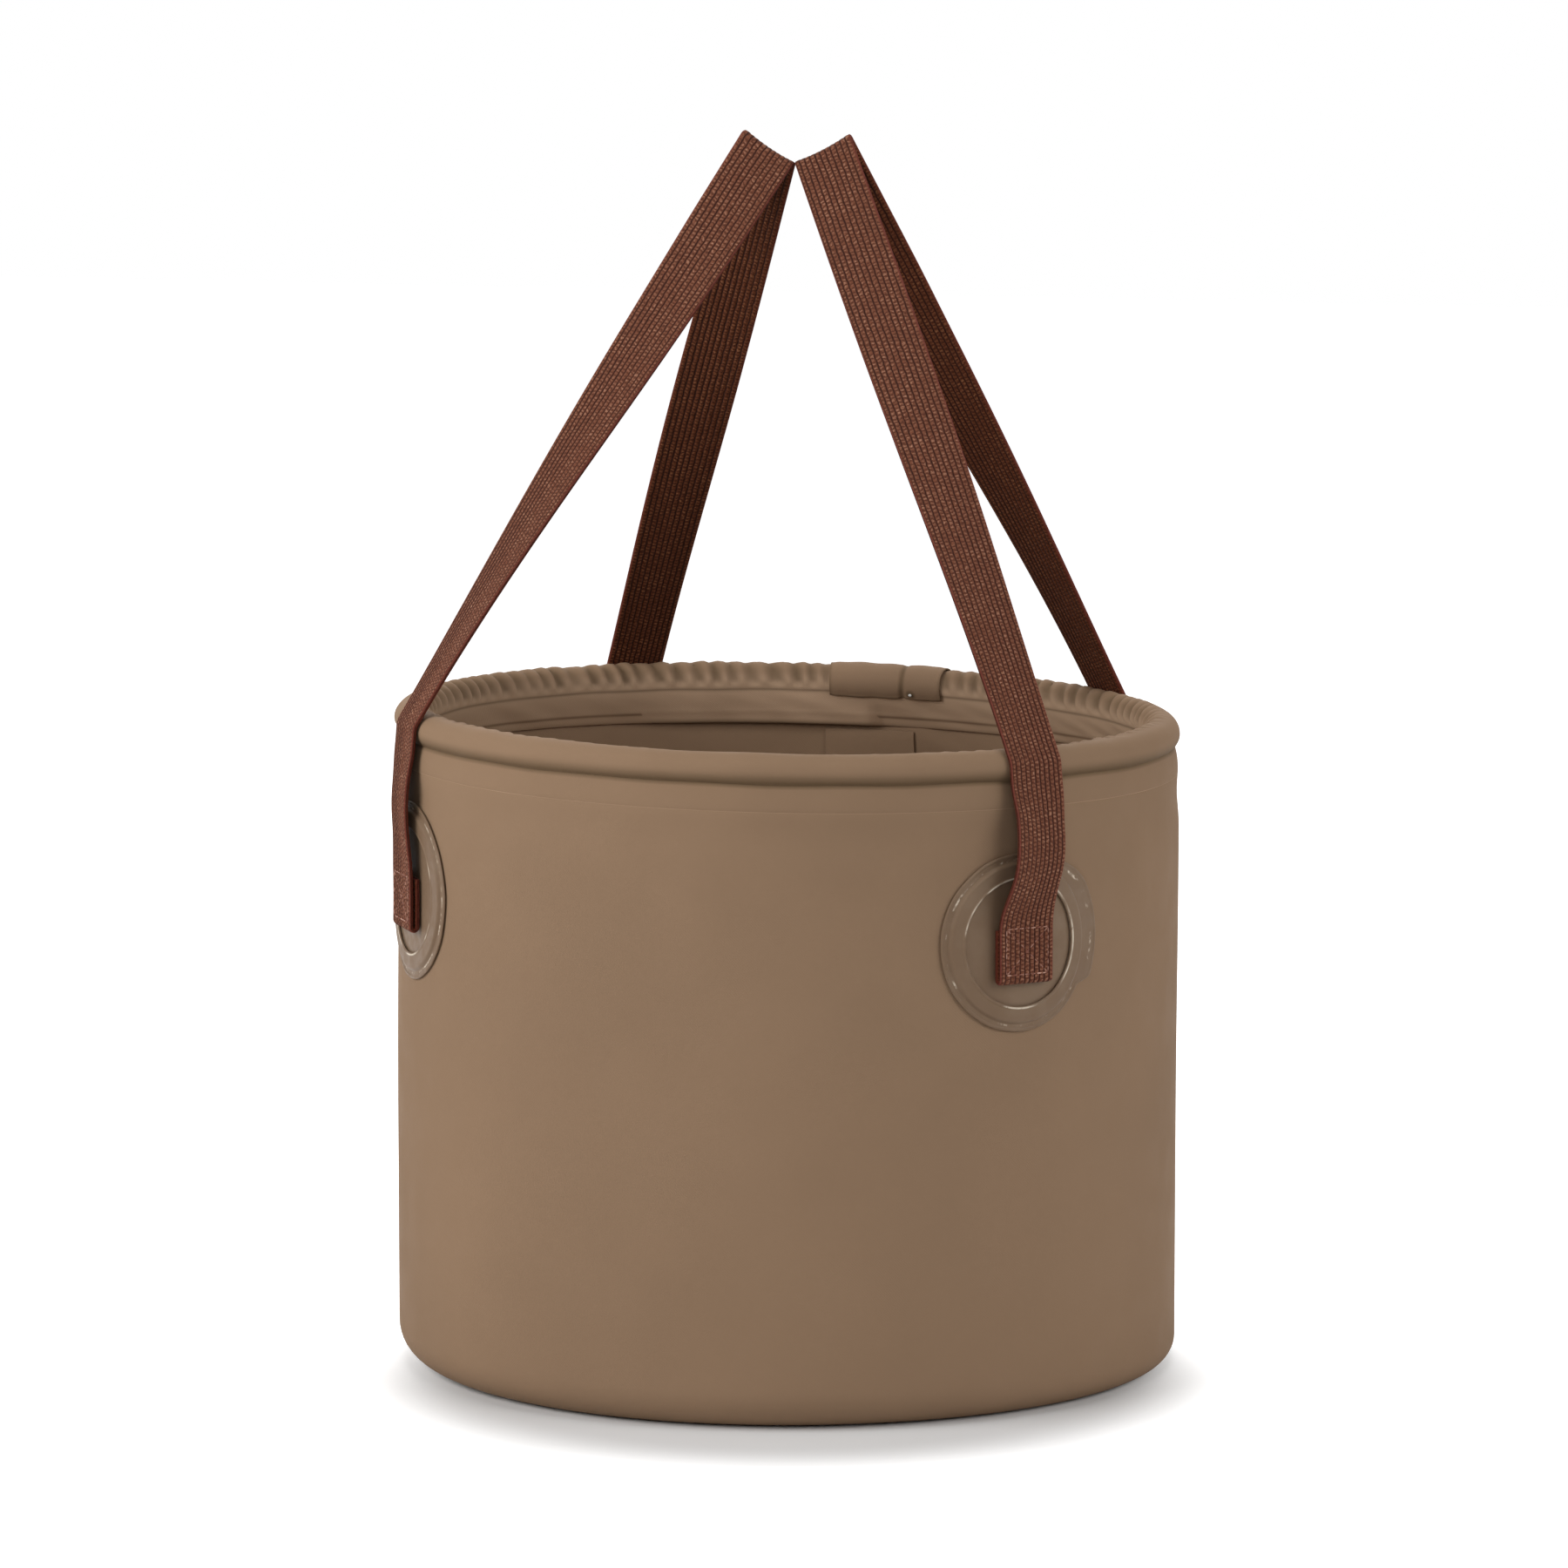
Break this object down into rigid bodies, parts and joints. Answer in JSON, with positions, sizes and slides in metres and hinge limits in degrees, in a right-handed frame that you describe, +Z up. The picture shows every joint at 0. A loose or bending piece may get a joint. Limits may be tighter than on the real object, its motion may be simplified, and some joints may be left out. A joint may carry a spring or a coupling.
{
  "type": "collapsible camp bucket",
  "caption": "Round fold-flat water bucket of welded coated fabric with a hooped rim and two webbing carry loops on welded round patches.",
  "frame": {"origin": "middle of the underside, on the floor", "axes": "+Z up, +X towards the right handle, +Y towards the upright seam at the back"},
  "size_m": [0.31, 0.3109, 0.4861],
  "materials": {
    "coated_fabric": "smooth coated cloth, satin",
    "patch_film": "smooth welded film, semi-gloss",
    "webbing": "ribbed woven webbing",
    "hoop_plastic": "extruded tube"
  },
  "bodies": {
    "bucket_base": {"base_panel": "coated_fabric", "side_wall": "coated_fabric", "seam_tape": "coated_fabric"},
    "rim": {"rim_hoop": "hoop_plastic", "hoop_joiner": "hoop_plastic", "rim_hem": "coated_fabric", "hem_lap": "coated_fabric"},
    "strap_anchors": {"patch_backing_front_right": "patch_film", "patch_ring_front_right": "patch_film", "strap_end_front_right": "webbing", "patch_backing_back_right": "patch_film", "patch_ring_back_right": "patch_film", "strap_end_back_right": "webbing", "patch_backing_back_left": "patch_film", "patch_ring_back_left": "patch_film", "strap_end_back_left": "webbing", "patch_backing_front_left": "patch_film", "patch_ring_front_left": "patch_film", "strap_end_front_left": "webbing"},
    "right_loop": {"right_handle": "webbing"},
    "left_loop": {"left_handle": "webbing"}
  },
  "joints": [
    {"name": "rim_collapse", "type": "slide", "parent": "bucket_base", "child": "rim", "axis": [0, 0, 1], "range_m": [-0.185, 0], "deforming": ["side_wall", "seam_tape"]},
    {"name": "anchors_follow", "type": "slide", "parent": "bucket_base", "child": "strap_anchors", "axis": [0, 0, 1], "range_m": [-0.1436, 0]},
    {"name": "right_handle_drop", "type": "hinge", "parent": "strap_anchors", "child": "right_loop", "pos_m": [0.12582, 0.01434, 0.19], "axis": [-0.1132, 0.9936, 0], "range_deg": [0, 145]},
    {"name": "left_handle_drop", "type": "hinge", "parent": "strap_anchors", "child": "left_loop", "pos_m": [-0.12582, 0.01434, 0.19], "axis": [-0.1132, -0.9936, 0], "range_deg": [0, 145]}
  ],
  "couplings": [
    {"joint": "anchors_follow", "follows": "rim_collapse", "ratio": 0.7756}
  ]
}
